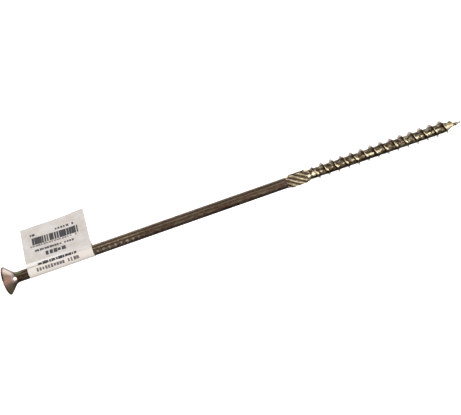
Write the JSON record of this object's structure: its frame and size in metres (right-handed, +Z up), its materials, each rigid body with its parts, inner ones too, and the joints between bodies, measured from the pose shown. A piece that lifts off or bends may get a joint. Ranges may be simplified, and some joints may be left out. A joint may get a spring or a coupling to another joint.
{
  "type": "construction screw",
  "caption": "Long countersunk construction screw with a hexalobular drive, ribbed cutter, part thread and pointed tip, with a folded paper label round its shank.",
  "frame": {"origin": "centre of the flat face of the head, at the mouth of the drive socket", "axes": "+X along the screw towards its point, which lies 0.81 degrees lower than the axis because the head is wider than the thread; +Y towards the far edge of the label; +Z up"},
  "size_m": [0.2401, 0.0378, 0.0145],
  "materials": {
    "zinc_plated_steel": "yellow zinc plating with a faint olive and pink sheen",
    "label_paper": "matt uncoated paper with grey marks"
  },
  "bodies": {
    "root": {"screw": "zinc_plated_steel", "label": "label_paper"}
  },
  "joints": []
}
